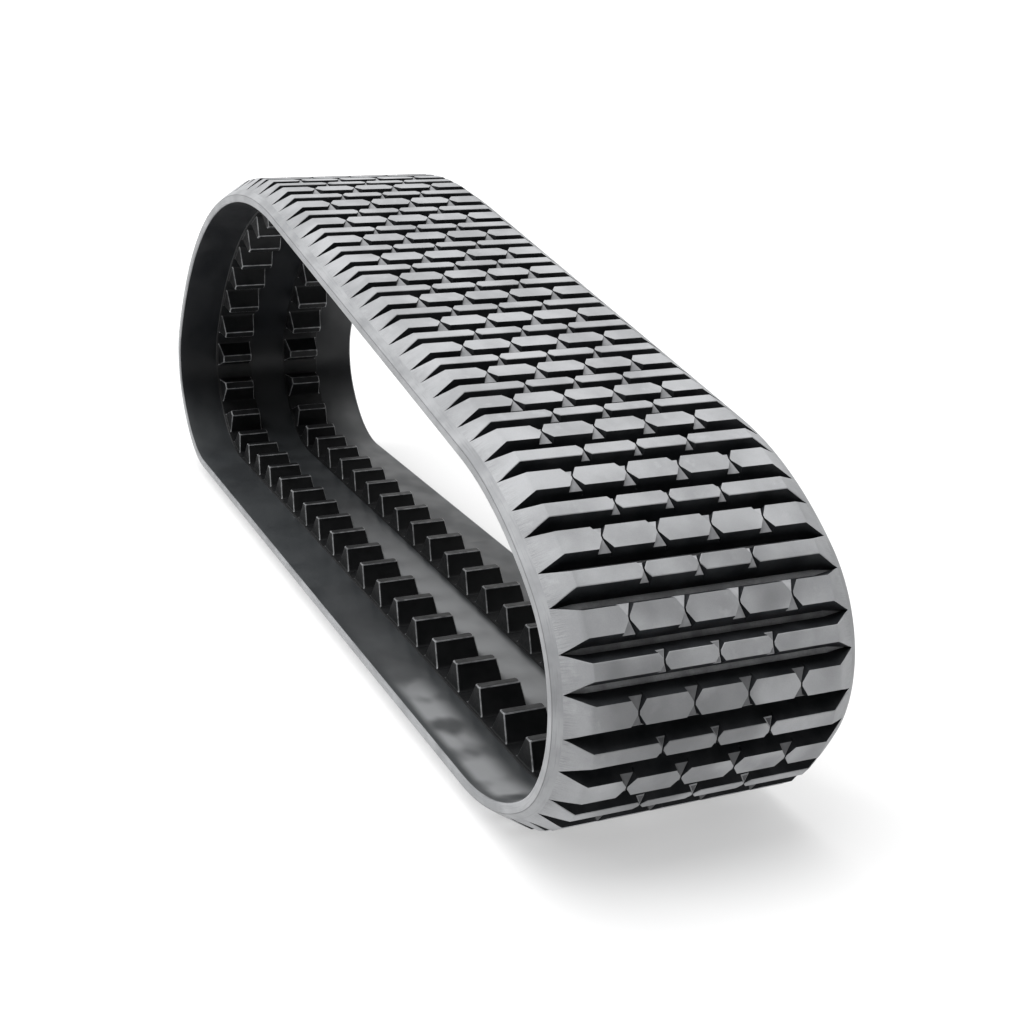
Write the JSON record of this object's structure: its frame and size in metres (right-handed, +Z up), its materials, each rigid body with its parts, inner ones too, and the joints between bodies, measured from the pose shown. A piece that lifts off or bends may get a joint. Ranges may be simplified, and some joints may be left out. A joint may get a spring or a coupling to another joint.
{
  "type": "rubber track",
  "caption": "Endless rubber belt with a block tread outside, two rows of drive lugs inside, and a tensile cord ply between its covers.",
  "frame": {"origin": "middle of the bounding box at the ground, under the tread of the bottom run", "axes": "+X along the bottom run toward the tight end, +Y across the belt, +Z up"},
  "size_m": [2.3834, 0.4572, 0.7894],
  "materials": {
    "tread_rubber": "matte, lightly dusted black rubber",
    "cover_rubber": "smooth moulded black rubber",
    "lug_rubber": "smooth moulded black rubber, slightly glossy",
    "cord_fabric": "rubberised cord fabric"
  },
  "bodies": {
    "section_01": {"outer_tread_01": "tread_rubber", "cord_ply_01": "cord_fabric", "inner_cover_01": "cover_rubber", "drive_lugs_left_01": "lug_rubber", "drive_lugs_right_01": "lug_rubber"},
    "section_02": {"outer_tread_02": "tread_rubber", "cord_ply_02": "cord_fabric", "inner_cover_02": "cover_rubber", "drive_lugs_left_02": "lug_rubber", "drive_lugs_right_02": "lug_rubber"},
    "section_03": {"outer_tread_03": "tread_rubber", "cord_ply_03": "cord_fabric", "inner_cover_03": "cover_rubber", "drive_lugs_left_03": "lug_rubber", "drive_lugs_right_03": "lug_rubber"},
    "section_04": {"outer_tread_04": "tread_rubber", "cord_ply_04": "cord_fabric", "inner_cover_04": "cover_rubber", "drive_lugs_left_04": "lug_rubber", "drive_lugs_right_04": "lug_rubber"},
    "section_05": {"outer_tread_05": "tread_rubber", "cord_ply_05": "cord_fabric", "inner_cover_05": "cover_rubber", "drive_lugs_left_05": "lug_rubber", "drive_lugs_right_05": "lug_rubber"},
    "section_06": {"outer_tread_06": "tread_rubber", "cord_ply_06": "cord_fabric", "inner_cover_06": "cover_rubber", "drive_lugs_left_06": "lug_rubber", "drive_lugs_right_06": "lug_rubber"},
    "section_07": {"outer_tread_07": "tread_rubber", "cord_ply_07": "cord_fabric", "inner_cover_07": "cover_rubber", "drive_lugs_left_07": "lug_rubber", "drive_lugs_right_07": "lug_rubber"},
    "section_08": {"outer_tread_08": "tread_rubber", "cord_ply_08": "cord_fabric", "inner_cover_08": "cover_rubber", "drive_lugs_left_08": "lug_rubber", "drive_lugs_right_08": "lug_rubber"},
    "section_09": {"outer_tread_09": "tread_rubber", "cord_ply_09": "cord_fabric", "inner_cover_09": "cover_rubber", "drive_lugs_left_09": "lug_rubber", "drive_lugs_right_09": "lug_rubber"},
    "section_10": {"outer_tread_10": "tread_rubber", "cord_ply_10": "cord_fabric", "inner_cover_10": "cover_rubber", "drive_lugs_left_10": "lug_rubber", "drive_lugs_right_10": "lug_rubber"},
    "section_11": {"outer_tread_11": "tread_rubber", "cord_ply_11": "cord_fabric", "inner_cover_11": "cover_rubber", "drive_lugs_left_11": "lug_rubber", "drive_lugs_right_11": "lug_rubber"},
    "section_12": {"outer_tread_12": "tread_rubber", "cord_ply_12": "cord_fabric", "inner_cover_12": "cover_rubber", "drive_lugs_left_12": "lug_rubber", "drive_lugs_right_12": "lug_rubber"}
  },
  "joints": [
    {"name": "loop_flex", "type": "hinge", "parent": "section_01", "child": "section_02", "pos_m": [0.1895, 0, 0.041], "axis": [0, -1, 0], "range_deg": [0, 6.25]},
    {"name": "flex_02_03", "type": "hinge", "parent": "section_02", "child": "section_03", "pos_m": [0.59591, 0, 0.041], "axis": [0, -1, 0], "range_deg": [0, 2.08]},
    {"name": "flex_03_04", "type": "hinge", "parent": "section_03", "child": "section_04", "pos_m": [0.99815, 0, 0.07171], "axis": [0, -1, 0], "range_deg": [-2.85, 0]},
    {"name": "flex_04_05", "type": "hinge", "parent": "section_04", "child": "section_05", "pos_m": [1.10217, 0, 0.39863], "axis": [0, -1, 0], "range_deg": [-12.68, 0]},
    {"name": "flex_05_06", "type": "hinge", "parent": "section_05", "child": "section_06", "pos_m": [0.73629, 0, 0.55749], "axis": [0, -1, 0], "range_deg": [0, 1.34]},
    {"name": "flex_06_07", "type": "hinge", "parent": "section_06", "child": "section_07", "pos_m": [0.33735, 0, 0.63503], "axis": [0, -1, 0], "range_deg": [0, 3.52]},
    {"name": "flex_01_12", "type": "hinge", "parent": "section_01", "child": "section_12", "pos_m": [-0.31851, 0, 0.041], "axis": [0, -1, 0], "range_deg": [-6.7, 0]},
    {"name": "flex_12_11", "type": "hinge", "parent": "section_12", "child": "section_11", "pos_m": [-0.82652, 0, 0.041], "axis": [0, -1, 0], "range_deg": [0, 0.223]},
    {"name": "flex_11_10", "type": "hinge", "parent": "section_11", "child": "section_10", "pos_m": [-1.13051, 0, 0.31782], "axis": [0, -1, 0], "range_deg": [0, 10.78]},
    {"name": "flex_10_09", "type": "hinge", "parent": "section_10", "child": "section_09", "pos_m": [-0.84361, 0, 0.60111], "axis": [0, -1, 0], "range_deg": [0, 3.22]},
    {"name": "flex_09_08", "type": "hinge", "parent": "section_09", "child": "section_08", "pos_m": [-0.46474, 0, 0.73938], "axis": [0, -1, 0], "range_deg": [-0.309, 0]}
  ],
  "couplings": [
    {"joint": "flex_02_03", "follows": "loop_flex", "ratio": 0.3324},
    {"joint": "flex_03_04", "follows": "loop_flex", "ratio": -0.4549},
    {"joint": "flex_04_05", "follows": "loop_flex", "ratio": -2.0287},
    {"joint": "flex_05_06", "follows": "loop_flex", "ratio": 0.2145},
    {"joint": "flex_06_07", "follows": "loop_flex", "ratio": 0.5631},
    {"joint": "flex_01_12", "follows": "loop_flex", "ratio": -1.0717},
    {"joint": "flex_12_11", "follows": "loop_flex", "ratio": 0.0354},
    {"joint": "flex_11_10", "follows": "loop_flex", "ratio": 1.724},
    {"joint": "flex_10_09", "follows": "loop_flex", "ratio": 0.515},
    {"joint": "flex_09_08", "follows": "loop_flex", "ratio": -0.0492}
  ]
}
